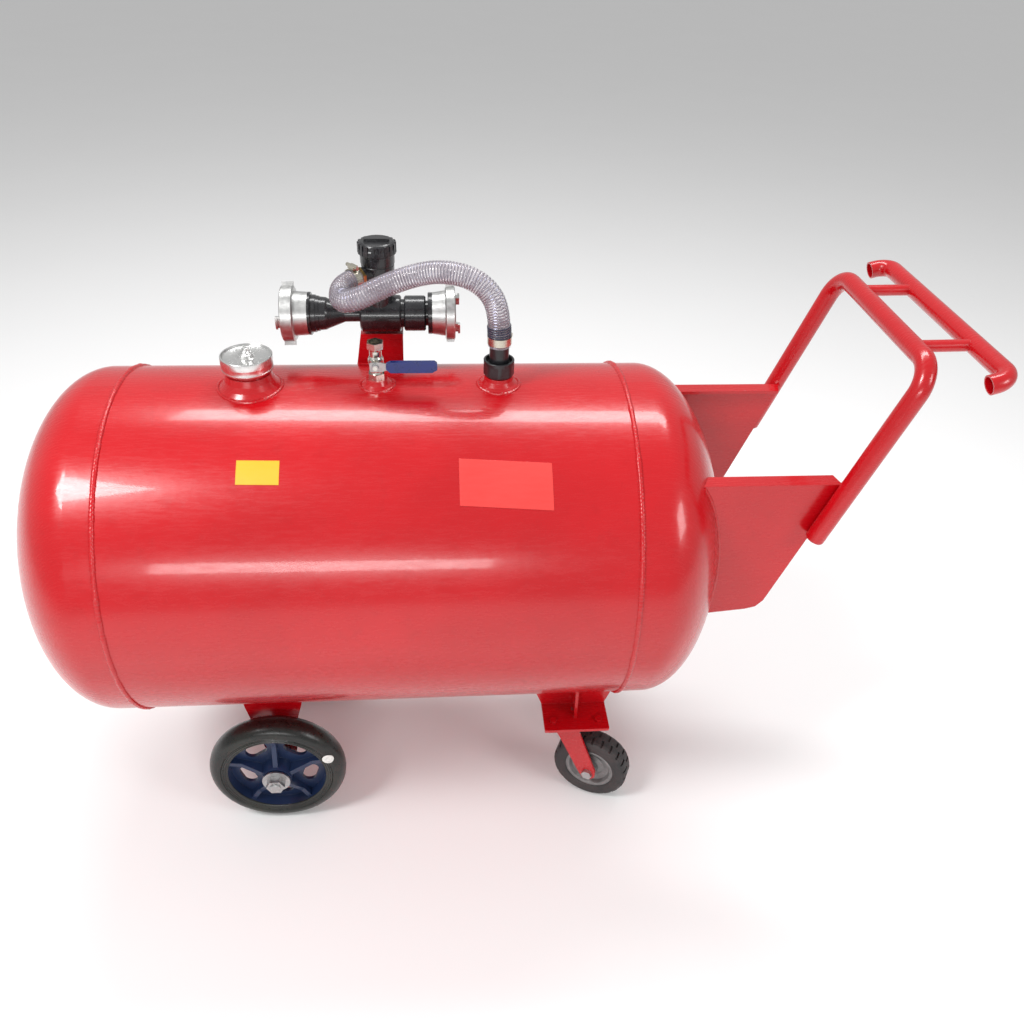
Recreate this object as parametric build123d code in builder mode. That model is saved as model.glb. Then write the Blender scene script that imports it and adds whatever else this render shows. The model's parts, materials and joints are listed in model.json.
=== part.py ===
from build123d import *
import math
import os

# Wheeled foam tank: a horizontal pressure-less steel tank for foam
# concentrate, with an in-line inductor on top, two fixed wheels, two swivel
# casters and a welded push handle.  Millimetres, +Z up, +X towards the handle,
# the origin on the floor under the middle of the whole object.

# ---- driving dimensions ----------------------------------------------------
R_TANK = 300.0        # tank outer radius
T_WALL = 5.0          # tank wall
HALF = 409.0          # half the distance between the two ring welds
SF = 42.0             # straight flange of each head
HD = 143.0            # depth of each dished head
AXIS_Z = 560.0        # tank axis above the floor

CAP_X = -201.0        # fill neck
VALVE_X = 2.0         # ball valve
PORT_X = 200.0        # suction port

IND_Y = 145.0         # inductor axis
IND_Z = 359.5
MET_X = 4.5           # metering head

WHEEL_X = -218.0      # fixed wheels
WHEEL_R = 128.0
WHEEL_Z = -AXIS_Z + WHEEL_R
WHEEL_Y0, WHEEL_Y1 = 196.0, 146.0      # outer and inner face of a tyre

CAST_X = 355.0        # caster swivel axes
CAST_Y = 127.0
CAST_R = 75.0
CAST_Z = -AXIS_Z + CAST_R
TRAIL = 48.0
YAW_RIGHT = -25.0     # rest direction of each caster about +Z
YAW_LEFT = 12.0
PAD_Z = -350.0        # top face of the caster mounting plates

TUBE_R, TUBE_T = 16.0, 2.5
BAR_R, BAR_T = 15.0, 2.5
PLATE_Y = 171.0       # outer face of the handle plates
LEG_Y = PLATE_Y + TUBE_R
BAR_X = 927.0

XC = (BAR_X + BAR_R - (HALF + SF + HD)) / 2.0


def at(x, y, z):
    """A point given from the middle of the tank, in the part's own frame."""
    return Vector(x - XC, y, z + AXIS_Z)


def along_x(x, y=0.0, z=0.0, sign=1):
    """A plane across X: its local x is +Y and its normal is +X or -X."""
    return Plane(origin=at(x, y, z), x_dir=(0, 1, 0), z_dir=(sign, 0, 0))


def flat(x, y, z, sign=1):
    return Plane(origin=at(x, y, z), x_dir=(1, 0, 0), z_dir=(0, 0, sign))


def side(x, y, z):
    """A plane in X and Z: local x is +X, local y is +Z, normal is -Y."""
    return Plane(origin=at(x, y, z), x_dir=(1, 0, 0), z_dir=(0, -1, 0))


os.makedirs("parts", exist_ok=True)


def save(piece, name):
    piece.part.label = name
    export_step(piece.part, "parts/" + name + ".step")


# ---- tank -------------------------------------------------------------------
with BuildPart() as tank_envelope:
    with BuildSketch(side(0, 0, 0)):
        with BuildLine():
            a = EllipticalCenterArc((HALF + SF, 0), HD, R_TANK, start_angle=0, arc_size=90)
            b = Line((HALF + SF, R_TANK), (-HALF - SF, R_TANK))
            c = EllipticalCenterArc((-HALF - SF, 0), HD, R_TANK, start_angle=90, arc_size=90)
            Line(c @ 1, a @ 0)
        make_face()
    revolve(axis=Axis(at(0, 0, 0), (1, 0, 0)))

NECK_R, NECK_BORE = 33.0, 27.0
SOCK_V_R, SOCK_V_BORE = 16.0, 10.5
SOCK_S_R, SOCK_S_BORE = 22.0, 14.0

with BuildPart() as tank_shell:
    with BuildSketch(along_x(-HALF)):
        Circle(R_TANK)
        Circle(R_TANK - T_WALL, mode=Mode.SUBTRACT)
    extrude(amount=2 * HALF)
    for hole_x, hole_r in ((CAP_X, NECK_R), (VALVE_X, SOCK_V_R), (PORT_X, SOCK_S_R)):
        with BuildSketch(flat(hole_x, 0, 200)):
            Circle(hole_r)
        extrude(amount=140, mode=Mode.SUBTRACT)
save(tank_shell, "tank_shell")

with BuildPart() as tank_heads:
    with BuildSketch(side(0, 0, 0)):
        with BuildLine():
            Line((HALF, R_TANK), (HALF + SF, R_TANK))
            o = EllipticalCenterArc((HALF + SF, 0), HD, R_TANK, start_angle=0, arc_size=90)
            i = EllipticalCenterArc((HALF + SF, 0), HD - T_WALL, R_TANK - T_WALL, start_angle=0, arc_size=90)
            Line(o @ 0, i @ 0)
            Line((HALF + SF, R_TANK - T_WALL), (HALF, R_TANK - T_WALL))
            Line((HALF, R_TANK - T_WALL), (HALF, R_TANK))
        make_face()
    revolve(axis=Axis(at(0, 0, 0), (1, 0, 0)))
    mirror(about=along_x(0))
save(tank_heads, "tank_heads")

with BuildPart() as weld_seams:
    for seam_x in (-HALF, HALF):
        with BuildSketch(side(seam_x, 0, 0)):
            with Locations((0, R_TANK - 1.6)):
                Ellipse(6.0, 5.0)
            with Locations((0, R_TANK - 10)):
                Rectangle(20, 20, mode=Mode.SUBTRACT)
        revolve(axis=Axis(at(0, 0, 0), (1, 0, 0)))
save(weld_seams, "weld_seams")

# Fill neck: a threaded stub through the shell with a flared welded collar.
with BuildPart() as fill_neck:
    with BuildSketch(side(CAP_X, 0, 0)):
        Polygon((27, 280), (52, 280), (50, 300), (44, 306), (39, 314), (36, 324), (27, 324), align=None)
    revolve(axis=Axis(at(CAP_X, 0, 0), (0, 0, 1)))
    add(tank_envelope.part, mode=Mode.SUBTRACT)
    with BuildSketch(flat(CAP_X, 0, 284)):
        Circle(NECK_R)
    extrude(amount=345.7 - 284)
    with BuildSketch(flat(CAP_X, 0, 280)):
        Circle(NECK_BORE)
    extrude(amount=80, mode=Mode.SUBTRACT)
    chamfer(fill_neck.faces().sort_by(Axis.Z)[-1].edges(), 1.0)
save(fill_neck, "fill_neck")

# Cap: a turned aluminium bowl with a stepped knob in the middle.
with BuildPart() as fill_cap:
    with BuildSketch(side(CAP_X, 0, 0)):
        Polygon((0, 348.9), (33.08, 348.9), (33.08, 331), (39.6, 331), (40.4, 331.8),
                (40.4, 341.5), (41, 342.5), (41, 353.6), (40.2, 354.6), (38.8, 354.6),
                (38.0, 353.2), (36.6, 351.4), (20, 352.6), (11.5, 354.0), (11.0, 356.6),
                (8.4, 357.4), (7.4, 359.6), (5.2, 361.4), (4.6, 365.2), (3.6, 366.4),
                (0, 366.6), align=None)
    revolve(axis=Axis(at(CAP_X, 0, 0), (0, 0, 1)))
save(fill_cap, "fill_cap")

with BuildPart() as cap_seal:
    with BuildSketch(flat(CAP_X, 0, 346.0)):
        Circle(32.6)
        Circle(24.0, mode=Mode.SUBTRACT)
    extrude(amount=2.6)
save(cap_seal, "cap_seal")

# ---- ball valve -------------------------------------------------------------
STEM_Z = 342.0
BALL_R = 9.2

with BuildPart() as vent_socket:
    with BuildSketch(side(VALVE_X, 0, 0)):
        Polygon((10.5, 284), (30, 284), (27, 300), (21, 305), (17.5, 312), (10.5, 312), align=None)
    revolve(axis=Axis(at(VALVE_X, 0, 0), (0, 0, 1)))
    add(tank_envelope.part, mode=Mode.SUBTRACT)
    with BuildSketch(flat(VALVE_X, 0, 286)):
        Circle(SOCK_V_R)
        Circle(SOCK_V_BORE, mode=Mode.SUBTRACT)
    extrude(amount=312 - 286)
save(vent_socket, "vent_socket")

with BuildPart() as valve_body:
    with BuildSketch(side(VALVE_X, 0, 0)):
        Polygon((0, 300), (10.5, 300), (10.5, 312), (12.6, 312), (12.6, 313), (10, 325),
                (10.4, 331), (11.6, 335), (12.4, 338.5), (12.4, 345.5), (11.6, 348.5), (9.8, 351.5), (9.8, 361),
                (12.3, 366), (12.3, 375.6), (0, 375.6), align=None)
    revolve(axis=Axis(at(VALVE_X, 0, 0), (0, 0, 1)))
    for hex_z, hex_h in ((312, 10), (365, 10.6)):
        with BuildSketch(flat(VALVE_X, 0, hex_z)):
            RegularPolygon(12.4, 6, major_radius=False, rotation=30)
        extrude(amount=hex_h)
    with BuildSketch(Plane(origin=at(VALVE_X, 0, STEM_Z), x_dir=(1, 0, 0), z_dir=(0, -1, 0))):
        Circle(6.6)
    extrude(amount=17.5)
    with BuildSketch(flat(VALVE_X, 0, 298)):
        Circle(6.0)
    extrude(amount=90, mode=Mode.SUBTRACT)
    with BuildSketch(flat(VALVE_X, 0, 362)):
        Circle(9.4)
    extrude(amount=20, mode=Mode.SUBTRACT)
    with Locations(at(VALVE_X, 0, STEM_Z)):
        Sphere(BALL_R + 0.5, mode=Mode.SUBTRACT)
    with BuildSketch(Plane(origin=at(VALVE_X, 0, STEM_Z), x_dir=(1, 0, 0), z_dir=(0, -1, 0))):
        Circle(3.55)
    extrude(amount=20, mode=Mode.SUBTRACT)
save(valve_body, "valve_body")

# Ball seats: two soft rings in the body, each side of the ball.
with BuildPart() as valve_seats:
    with BuildSketch(side(VALVE_X, 0, STEM_Z)):
        Polygon((6.05, 7.5), (6.05, 7.15), (7.0, 6.25), (7.0, 6.6), align=None)
    revolve(axis=Axis(at(VALVE_X, 0, 0), (0, 0, 1)))
    mirror(about=flat(VALVE_X, 0, STEM_Z))
save(valve_seats, "valve_seats")

with BuildPart() as valve_ball:
    with Locations(at(VALVE_X, 0, STEM_Z)):
        Sphere(BALL_R)
    # the bore lies along the lever: crosswise when the valve is shut
    with BuildSketch(along_x(VALVE_X - 20, 0, STEM_Z)):
        Circle(5.8)
    extrude(amount=40, mode=Mode.SUBTRACT)
    with BuildSketch(Plane(origin=at(VALVE_X, -7.6, STEM_Z), x_dir=(1, 0, 0), z_dir=(0, -1, 0))):
        Circle(3.45)
    extrude(amount=4, mode=Mode.SUBTRACT)
save(valve_ball, "valve_ball")

with BuildPart() as valve_stem:
    with BuildSketch(Plane(origin=at(VALVE_X, -7.6, STEM_Z), x_dir=(1, 0, 0), z_dir=(0, -1, 0))):
        Circle(3.45)
    extrude(amount=28.5 - 7.6)
save(valve_stem, "valve_stem")

with BuildPart() as packing_nut:
    with BuildSketch(Plane(origin=at(VALVE_X, -17.5, STEM_Z), x_dir=(1, 0, 0), z_dir=(0, -1, 0))):
        RegularPolygon(6.0, 6, major_radius=False)
        Circle(3.6, mode=Mode.SUBTRACT)
    extrude(amount=3.4)
save(packing_nut, "packing_nut")

with BuildPart() as lever:
    with BuildSketch(side(VALVE_X, -21.6, STEM_Z)):
        with BuildLine():
            Polyline((-9, -8), (9, -8), (18, -5.5), (96, -5.5), (96, 5.5), (18, 5.5), (9, 8), (-9, 8), (-9, -8))
        make_face()
        Circle(3.45, mode=Mode.SUBTRACT)
    extrude(amount=2.4)
    fillet(lever.edges().filter_by(Axis.Y).sort_by(Axis.X)[:2], 3)
save(lever, "lever")

with BuildPart() as lever_nut:
    with BuildSketch(side(VALVE_X, -24.0, STEM_Z)):
        RegularPolygon(5.0, 6, major_radius=False)
        Circle(3.45, mode=Mode.SUBTRACT)
    extrude(amount=4.5)
save(lever_nut, "lever_nut")

with BuildPart() as lever_sleeve:
    with BuildSketch(side(VALVE_X, -18.8, STEM_Z)):
        with BuildLine():
            Polyline((17, -3), (24, -9), (90, -9), (98, -4), (98, 6), (94, 9.5), (24, 9.5), (17, 6), (17, -3))
        make_face()
    extrude(amount=7.8)
    fillet(lever_sleeve.edges().filter_by(Axis.Y), 1.6)
    add(lever.part, mode=Mode.SUBTRACT)
save(lever_sleeve, "lever_sleeve")

# ---- suction port, dip tube -------------------------------------------------
with BuildPart() as suction_socket:
    with BuildSketch(side(PORT_X, 0, 0)):
        Polygon((14, 284), (36, 284), (34, 300), (28, 304), (24, 310), (23, 316), (14, 316), align=None)
    revolve(axis=Axis(at(PORT_X, 0, 0), (0, 0, 1)))
    add(tank_envelope.part, mode=Mode.SUBTRACT)
    with BuildSketch(side(PORT_X, 0, 0)):
        Polygon((14, 286), (22, 286), (22, 316), (19, 316), (19, 323.6), (14, 323.6), align=None)
    revolve(axis=Axis(at(PORT_X, 0, 0), (0, 0, 1)))
save(suction_socket, "suction_socket")

with BuildPart() as hose_tail:
    with BuildSketch(side(PORT_X, 0, 0)):
        Polygon((11, 325.0), (18.6, 325.0), (18.6, 329), (15.9, 329), (15.9, 368), (15.3, 368),
                (15.3, 390), (13.6, 394), (11, 394), align=None)
    revolve(axis=Axis(at(PORT_X, 0, 0), (0, 0, 1)))
save(hose_tail, "hose_tail")

with BuildPart() as tail_gasket:
    with BuildSketch(flat(PORT_X, 0, 323.6)):
        Circle(18.6)
        Circle(13.2, mode=Mode.SUBTRACT)
    extrude(amount=1.4)

with BuildPart() as union_nut:
    with BuildSketch(side(PORT_X, 0, 0)):
        Polygon((19, 317), (22.5, 317), (25, 319.5), (25, 343.2), (24.2, 344), (21.6, 344),
                (21.0, 336), (16.2, 336), (16.2, 329), (19, 329), align=None)
    revolve(axis=Axis(at(PORT_X, 0, 0), (0, 0, 1)))
    # eight flats
    with BuildSketch(flat(PORT_X, 0, 316)):
        Circle(40)
        RegularPolygon(24.0, 8, major_radius=False, mode=Mode.SUBTRACT)
    extrude(amount=22, mode=Mode.SUBTRACT)
save(union_nut, "union_nut")

with BuildPart() as dip_tube:
    with BuildSketch(flat(PORT_X, 0, -284)):
        Circle(13.0)
        Circle(10.8, mode=Mode.SUBTRACT)
    extrude(amount=323.6 + 284)
    # slanted foot
    with BuildSketch(side(PORT_X, 20, 0)):
        Polygon((-20, -284), (20, -284), (20, -262), align=None)
    extrude(amount=40, mode=Mode.SUBTRACT)
save(dip_tube, "dip_tube")

# ---- inductor ---------------------------------------------------------------
IND_AXIS = Axis(at(0, IND_Y, IND_Z), (1, 0, 0))


def ind_side():
    return side(0, IND_Y, IND_Z)


with BuildPart() as inductor_bracket:
    with BuildSketch(side(0, 142, 0)):
        Polygon((-44.5, 240), (40.5, 240), (42, 325), (-31, 325), align=None)
    extrude(amount=6)
    add(tank_envelope.part, mode=Mode.SUBTRACT)
    with BuildSketch(flat(0, 0, 319)):
        Polygon((-31, 142), (42, 142), (42, 172), (-31, 172), align=None)
    extrude(amount=6)
    with BuildSketch(flat(0, 0, 318)):
        with Locations(at(-8, 158, 0).sub(at(0, 0, 0)), at(20, 158, 0).sub(at(0, 0, 0))):
            Circle(4.0)
    extrude(amount=10, mode=Mode.SUBTRACT)
save(inductor_bracket, "inductor_bracket")

with BuildPart() as bracket_bolts:
    for bolt_x in (-8, 20):
        with BuildSketch(flat(bolt_x, 158, 313.7)):
            RegularPolygon(6.5, 6, major_radius=False)
        extrude(amount=5.3)
        with BuildSketch(flat(bolt_x, 158, 319)):
            Circle(4.0)
        extrude(amount=18)
save(bracket_bolts, "bracket_bolts")

with BuildPart() as inductor_body:
    with BuildSketch(ind_side()):
        Polygon((-29, 0), (-29, 28), (-26, 31), (38, 31), (40.5, 28.5), (40.5, 24), (45.5, 24), (45.5, 0), align=None)
    revolve(axis=IND_AXIS)
    with BuildSketch(flat(MET_X, IND_Y, IND_Z)):
        Circle(24)
    extrude(amount=404 - IND_Z)
    with BuildSketch(flat(0, 0, 325)):
        Polygon((-20, 143), (32, 143), (32, 171), (-20, 171), align=None)
    extrude(amount=22)
    with BuildSketch(along_x(-40, IND_Y, IND_Z)):
        Circle(11)
    extrude(amount=100, mode=Mode.SUBTRACT)
    with BuildSketch(flat(MET_X, IND_Y, IND_Z)):
        Circle(8)
    extrude(amount=60, mode=Mode.SUBTRACT)
    with BuildSketch(flat(0, 0, 324)):
        with Locations(at(-8, 158, 0).sub(at(0, 0, 0)), at(20, 158, 0).sub(at(0, 0, 0))):
            Circle(4.0)
    extrude(amount=13.0, mode=Mode.SUBTRACT)
save(inductor_body, "inductor_body")

with BuildPart() as diffuser:
    with BuildSketch(ind_side()):
        Polygon((-116.6, 22), (-116.6, 35), (-115.6, 36.2), (-112.6, 36.2), (-111.6, 35), (-111.6, 31.6),
                (-104, 31.6), (-103.6, 30.2), (-98, 29.6), (-97.6, 28.4), (-87, 27.4), (-84, 25.6), (-55, 14.2),
                (-29, 14), (-29, 8.2), (-50, 8.2), align=None)
    revolve(axis=IND_AXIS)
save(diffuser, "diffuser")

with BuildPart() as inlet_section:
    with BuildSketch(ind_side()):
        Polygon((45.5, 18), (45.5, 27.5), (48, 30), (80, 30), (82.3, 27.7), (82.3, 21.5), (86, 21.5),
                (86, 34.4), (87, 35.2), (93.5, 35.2), (93.5, 20), align=None)
    revolve(axis=IND_AXIS)
save(inlet_section, "inlet_section")

with BuildPart() as jet_nozzle:
    with BuildSketch(ind_side()):
        Polygon((60, 15.5), (60, 17.9), (45.5, 17.9), (45.5, 10.9), (8, 7.2), (8, 5.2), (40, 8), align=None)
    revolve(axis=IND_AXIS)
save(jet_nozzle, "jet_nozzle")


def storz(face_x, sign, ring_r, ring_len, tail_near, tail_far, tail_len, lug_r, bore_r, claw_deg, lug_degs):
    """A claw coupling.  sign is the way the face looks along X.  Angles are
    about X, from +Y towards +Z."""
    def pt(a, r):
        return (face_x - sign * a, r)

    claw_r0, claw_r1 = ring_r * 0.62, ring_r * 0.80
    with BuildPart() as c:
        with BuildSketch(ind_side()):
            Polygon(pt(0, ring_r * 0.60), pt(0, ring_r - 1.5), pt(1.5, ring_r), pt(ring_len - 2, ring_r),
                    pt(ring_len, ring_r - 3), pt(ring_len, tail_near), pt(ring_len + tail_len, tail_far),
                    pt(ring_len + tail_len, bore_r), pt(10, bore_r), pt(10, ring_r * 0.60), align=None)
        revolve(axis=IND_AXIS)
        # spanner lugs on the ring
        for deg in lug_degs:
            u = Vector(0, math.cos(math.radians(deg)), math.sin(math.radians(deg)))
            o = at(face_x, IND_Y, IND_Z)
            with BuildSketch(Plane(origin=o + u * (ring_r - 4) - Vector(sign * ring_len / 2, 0, 0),
                                   x_dir=(1, 0, 0), z_dir=u)):
                Rectangle(ring_len - 3, 15)
            extrude(amount=lug_r - ring_r + 4)
        # two curved slots that take the other half's claws
        with BuildSketch(along_x(face_x + sign * 1.0, IND_Y, IND_Z, -sign)):
            Circle(claw_r1 + 2.5)
            Circle(claw_r0 - 0.2, mode=Mode.SUBTRACT)
            for deg in (claw_deg, claw_deg + 180):
                a0 = math.radians(deg)
                w = math.radians(36)
                pts = [(0, 0)]
                for k in range(-3, 4):
                    t = a0 + w * k / 3
                    pts.append((math.cos(t) * 90, -sign * math.sin(t) * 90))
                Polygon(*pts, align=None, mode=Mode.SUBTRACT)
        extrude(amount=8.0, mode=Mode.SUBTRACT)
        # claws
        for deg in (claw_deg, claw_deg + 180):
            a0 = math.radians(deg)
            w = math.radians(17)
            with BuildSketch(along_x(face_x - sign * 1.0, IND_Y, IND_Z, sign)):
                Circle(claw_r1 - 2)
                Circle(claw_r0, mode=Mode.SUBTRACT)
                pts = [(0, 0)]
                for k in range(-2, 3):
                    t = a0 + w * k / 2
                    pts.append((math.cos(t) * 60, sign * math.sin(t) * 60))
                Polygon(*pts, align=None, mode=Mode.INTERSECT)
            extrude(amount=9.0)
            with BuildSketch(along_x(face_x + sign * 4.5, IND_Y, IND_Z, sign)):
                Circle(claw_r1 + 1.2)
                Circle(claw_r0, mode=Mode.SUBTRACT)
                pts = [(0, 0)]
                for k in range(-2, 3):
                    t = a0 + w * k / 2
                    pts.append((math.cos(t) * 60, sign * math.sin(t) * 60))
                Polygon(*pts, align=None, mode=Mode.INTERSECT)
            extrude(amount=3.5)
    return c


OUT_FACE, IN_FACE = -160.5, 132.6
OUT_BORE, IN_BORE = 22.0, 20.0
outlet_coupling = storz(OUT_FACE, -1, 47.0, 21.3, 37.5, 36.0, 22.6, 53.0, OUT_BORE, 182.0, (66.0, 246.0))
save(outlet_coupling, "outlet_coupling")
inlet_coupling = storz(IN_FACE, 1, 45.0, 17.0, 38.5, 35.2, 22.1, 48.5, IN_BORE, 205.0, (66.0, 246.0))
save(inlet_coupling, "inlet_coupling")

with BuildPart() as coupling_seals:
    with BuildSketch(ind_side()):
        Polygon((OUT_FACE + 10, OUT_BORE + 0.6), (OUT_FACE + 10, 28.1), (OUT_FACE, 28.1), (OUT_FACE - 1.2, 26),
                (OUT_FACE, OUT_BORE + 0.6), align=None)
    revolve(axis=IND_AXIS)
    with BuildSketch(ind_side()):
        Polygon((IN_FACE - 10, IN_BORE + 0.6), (IN_FACE - 10, 26.9), (IN_FACE, 26.9), (IN_FACE + 1.2, 24.6),
                (IN_FACE, IN_BORE + 0.6), align=None)
    revolve(axis=IND_AXIS)
    add(tail_gasket.part)
save(coupling_seals, "seal_rings")

# Metering head, with its side boss for the suction nipple.
NIP_DEG = 220.0
NIP_Z = 432.0
U = Vector(math.cos(math.radians(NIP_DEG)), math.sin(math.radians(NIP_DEG)), 0)
NIP_O = at(MET_X, IND_Y, NIP_Z)


def nip_plane(s):
    return Plane(origin=NIP_O + U * s, x_dir=(0, 0, 1), z_dir=U)


with BuildPart() as metering_housing:
    with BuildSketch(side(MET_X, IND_Y, 0)):
        Polygon((0, 404), (26, 404), (27.5, 405.5), (27.5, 447), (26.6, 448), (26.6, 449.6), (28.6, 451),
                (28.6, 465.8), (0, 465.8), align=None)
    revolve(axis=Axis(at(MET_X, IND_Y, 0), (0, 0, 1)))
    with BuildSketch(nip_plane(0)):
        Circle(16.5)
    extrude(amount=36)
    with BuildSketch(flat(MET_X, IND_Y, 400)):
        Circle(8.0)
    extrude(amount=80, mode=Mode.SUBTRACT)
    with BuildSketch(nip_plane(4)):
        Circle(12.0)
    extrude(amount=40, mode=Mode.SUBTRACT)
save(metering_housing, "metering_housing")

with BuildPart() as metering_knob:
    with BuildSketch(side(MET_X, IND_Y, 0)):
        Polygon((0, 466.3), (30.0, 466.3), (31.2, 467.5), (31.2, 476), (30.2, 477.5), (30.2, 484), (28.6, 486),
                (26, 487.5), (0, 487.5), align=None)
    revolve(axis=Axis(at(MET_X, IND_Y, 0), (0, 0, 1)))
    # raised grip: a central bar and a ring of chunky ridges
    with BuildSketch(flat(MET_X, IND_Y, 486)):
        RectangleRounded(42, 13, 4)
    extrude(amount=6)
    with BuildSketch(flat(MET_X, IND_Y, 468)):
        with PolarLocations(30.4, 18):
            Rectangle(3.2, 5.0)
    extrude(amount=17)
    with BuildSketch(flat(MET_X, IND_Y, 416)):
        Circle(7.95)
    extrude(amount=52)
save(metering_knob, "metering_knob")

with BuildPart() as suction_nipple:
    with BuildSketch(nip_plane(12)):
        Circle(12.0)
    extrude(amount=24)
    with BuildSketch(nip_plane(36)):
        RegularPolygon(16.5, 6, major_radius=False)
    extrude(amount=6)
    with BuildSketch(nip_plane(42)):
        Circle(15.3)
    extrude(amount=15.5)
    with BuildSketch(nip_plane(10)):
        Circle(10.0)
    extrude(amount=60, mode=Mode.SUBTRACT)
save(suction_nipple, "suction_nipple")

# ---- suction hose: one flexible wire-reinforced hose, held at both ends ------
HOSE_R, HOSE_BORE = 18.5, 15.3


def nip_at(s, dz=0.0):
    return NIP_O + U * s + Vector(0, 0, dz)


hose_route = [
    nip_at(42.5), nip_at(74.5),
    at(-55.5, 64.0, 416.0), at(-29.0, 40.0, 426.5), at(20.0, 41.0, 452.0),
    at(75.0, 36.0, 473.5), at(118.0, 22.0, 482.5), at(160.0, 9.0, 476.0),
    at(190.0, 2.0, 450.0), at(200.0, 0.0, 408.0), at(200.0, 0.0, 368.0),
]
hose_radii = []
for k in range(1, len(hose_route) - 1):
    v0 = hose_route[k] - hose_route[k - 1]
    v1 = hose_route[k + 1] - hose_route[k]
    turn = math.radians(v0.get_angle(v1))
    hose_radii.append(0.45 * min(v0.length, v1.length) / math.tan(turn / 2))
print("hose radii", [round(r, 1) for r in hose_radii])
print("hose route", [(round(p.X, 2), round(p.Y, 2), round(p.Z, 2)) for p in hose_route])

with BuildPart() as suction_hose:
    with BuildLine() as hose_line:
        FilletPolyline(*hose_route, radius=hose_radii)
    with BuildSketch(Plane(origin=hose_route[0], z_dir=hose_route[1] - hose_route[0])):
        Circle(HOSE_R)
        Circle(HOSE_BORE, mode=Mode.SUBTRACT)
    sweep()
hose_length = sum(e.length for e in hose_line.edges())
print("hose length", round(hose_length, 1), "volume / (section x length)",
      round(suction_hose.part.volume / (math.pi * (HOSE_R ** 2 - HOSE_BORE ** 2) * hose_length), 4))
save(suction_hose, "suction_hose")

with BuildPart() as hose_clamp_tank:
    with BuildSketch(flat(PORT_X, 0, 372.5)):
        Circle(HOSE_R + 1.2)
        Circle(HOSE_R, mode=Mode.SUBTRACT)
    extrude(amount=12.5)
    with BuildSketch(Plane(origin=at(PORT_X, 0, 378.75) + Vector(0.42, 0.907, 0) * (HOSE_R + 1.0),
                           x_dir=(0.907, -0.42, 0), z_dir=(0.42, 0.907, 0))):
        Rectangle(16, 9)
    extrude(amount=6.5)
    with BuildSketch(Plane(origin=at(PORT_X, 0, 378.75) + Vector(0.42, 0.907, 0) * (HOSE_R + 4.5)
                           - Vector(0.907, -0.42, 0) * 15, x_dir=(0, 0, 1), z_dir=(0.907, -0.42, 0))):
        Circle(3.2)
    extrude(amount=28)

with BuildPart() as hose_clamp_inductor:
    with BuildSketch(nip_plane(45)):
        Circle(HOSE_R + 1.2)
        Circle(HOSE_R + 0.05, mode=Mode.SUBTRACT)
    extrude(amount=11)
    W = Vector(-U.Y, U.X, 0)
    with BuildSketch(Plane(origin=NIP_O + U * 50.5 + Vector(0, 0, HOSE_R + 0.9), x_dir=W, z_dir=(0, 0, 1))):
        Rectangle(16, 9)
    extrude(amount=6.5)
    with BuildSketch(Plane(origin=NIP_O + U * 50.5 + Vector(0, 0, HOSE_R + 4.6) - W * 15, x_dir=U, z_dir=W)):
        Circle(3.2)
    extrude(amount=28)

with BuildPart() as hose_clamps:
    add(hose_clamp_tank.part)
    add(hose_clamp_inductor.part)
save(hose_clamps, "hose_clamps")

# ---- fixed wheels -----------------------------------------------------------
AX_R = 10.0

with BuildPart() as axle_legs:
    for s in (-1, 1):
        y_out = s * 128.0
        with BuildSketch(Plane(origin=at(WHEEL_X, y_out, 0), x_dir=(1, 0, 0), z_dir=(0, -1, 0))):
            with BuildLine():
                Polyline((-64, -240), (64, -240), (50, -312), (42, -340), (37, -368), (30, WHEEL_Z), (-30, WHEEL_Z),
                         (-45, -362), (-55, -312), (-64, -240))
            make_face()
            with Locations((0, WHEEL_Z)):
                Circle(30)
                Circle(AX_R, mode=Mode.SUBTRACT)
        extrude(amount=8 * s)
    add(tank_envelope.part, mode=Mode.SUBTRACT)
save(axle_legs, "axle_legs")

with BuildPart() as wheel_axle:
    with BuildSketch(Plane(origin=at(WHEEL_X, -226, WHEEL_Z), x_dir=(1, 0, 0), z_dir=(0, 1, 0))):
        Circle(AX_R)
    extrude(amount=452)
    chamfer(wheel_axle.edges().filter_by(GeomType.CIRCLE), 1.5)
save(wheel_axle, "wheel_axle")


with BuildPart() as axle_spacers:
    for s in (-1, 1):
        with BuildSketch(Plane(origin=at(WHEEL_X, s * 128.0, WHEEL_Z), x_dir=(1, 0, 0), z_dir=(0, s, 0))):
            Circle(16.0)
            Circle(AX_R, mode=Mode.SUBTRACT)
        extrude(amount=13.6)
save(axle_spacers, "axle_spacers")

with BuildPart() as axle_washers:
    for s in (-1, 1):
        with BuildSketch(Plane(origin=at(WHEEL_X, s * 205.4, WHEEL_Z), x_dir=(1, 0, 0), z_dir=(0, s, 0))):
            Circle(26.0)
            Circle(AX_R, mode=Mode.SUBTRACT)
        extrude(amount=3)
save(axle_washers, "axle_washers")

with BuildPart() as axle_nuts:
    for s in (-1, 1):
        with BuildSketch(Plane(origin=at(WHEEL_X, 208.4 * s, WHEEL_Z), x_dir=(1, 0, 0), z_dir=(0, s, 0))):
            RegularPolygon(15.0, 6, major_radius=False)
            Circle(AX_R, mode=Mode.SUBTRACT)
        extrude(amount=14)
save(axle_nuts, "axle_nuts")


def wheel_plane(s):
    """Local x is the radius (+X), local y runs outwards from the tank."""
    return Plane(origin=at(WHEEL_X, 0, WHEEL_Z), x_dir=(1, 0, 0), z_dir=(0, 0, s))


def wheel_axis():
    return Axis(at(WHEEL_X, 0, WHEEL_Z), (0, 1, 0))


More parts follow.
